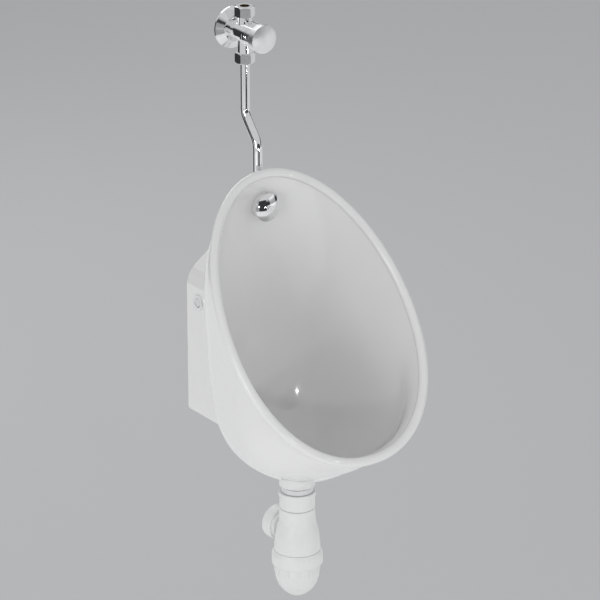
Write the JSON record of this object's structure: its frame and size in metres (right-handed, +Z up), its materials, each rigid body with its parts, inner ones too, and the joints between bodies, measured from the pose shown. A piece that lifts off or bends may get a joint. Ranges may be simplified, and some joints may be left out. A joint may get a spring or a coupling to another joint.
{
  "type": "wall hung urinal",
  "caption": "Wall hung ceramic bowl urinal with egg-shaped leaning rim, exposed push valve, flush pipe and white bottle trap.",
  "frame": {"origin": "on the wall plane, midway between the two wall screws", "axes": "+Z up, +Y into the wall, -Y out into the room, X across; the object is symmetric about X = 0"},
  "size_m": [0.3574, 0.3831, 0.9665],
  "materials": {
    "ceramic": "gloss",
    "chrome": "polished",
    "brass": "machined",
    "steel": "satin",
    "trap_plastic": "semi-gloss",
    "waste_plastic": "semi-gloss",
    "bush_plastic": "satin",
    "rubber": "matte"
  },
  "bodies": {
    "fixed_parts": {"ceramic_bowl": "ceramic", "spreader_dome": "chrome", "spreader_screw": "chrome", "spreader_insert": "brass", "spreader_seal": "rubber", "flush_pipe": "chrome", "inlet_grommet": "rubber", "valve_body": "chrome", "valve_plate": "steel", "wall_flange": "chrome", "inlet_nut": "chrome", "inlet_olive": "brass", "outlet_nut": "chrome", "outlet_olive": "brass", "valve_seat": "brass", "valve_bonnet": "chrome", "return_spring": "steel", "waste_body": "waste_plastic", "waste_grate": "chrome", "grate_screw": "steel", "waste_seal": "rubber", "waste_washer": "rubber", "waste_backnut": "waste_plastic", "trap_inlet_nut": "trap_plastic", "trap_inlet_seal": "rubber", "dip_tube": "trap_plastic", "trap_body_nut": "trap_plastic", "trap_body_seal": "rubber", "trap_body": "trap_plastic", "trap_outlet_nut": "trap_plastic", "trap_outlet_seal": "rubber", "wall_brackets": "steel", "weld_nuts": "steel", "side_washers": "chrome", "side_screws": "steel"},
    "plunger": {"push_button": "chrome", "spindle": "brass", "poppet_washer": "rubber", "timing_piston": "brass", "piston_seal": "rubber"},
    "cup_ring": {"cup_seal": "rubber"},
    "cup": {"trap_cup": "trap_plastic"}
  },
  "joints": [
    {"name": "button_push", "type": "slide", "parent": "fixed_parts", "child": "plunger", "axis": [0, 1, 0], "range_m": [0, 0.007], "stiffness_N_per_m": 900, "springref_m": -0.004, "deforming": ["return_spring"]},
    {"name": "cup_drop", "type": "slide", "parent": "fixed_parts", "child": "cup_ring", "axis": [0, 0, -1], "range_m": [0, 0.0135]},
    {"name": "cup_unscrew", "type": "hinge", "parent": "cup_ring", "child": "cup", "pos_m": [0, -0.176, -0.42], "axis": [0, 0, -1], "range_deg": [0, 1080]}
  ],
  "couplings": [
    {"joint": "cup_drop", "follows": "cup_unscrew", "m_per_rad": 0.0007162}
  ]
}
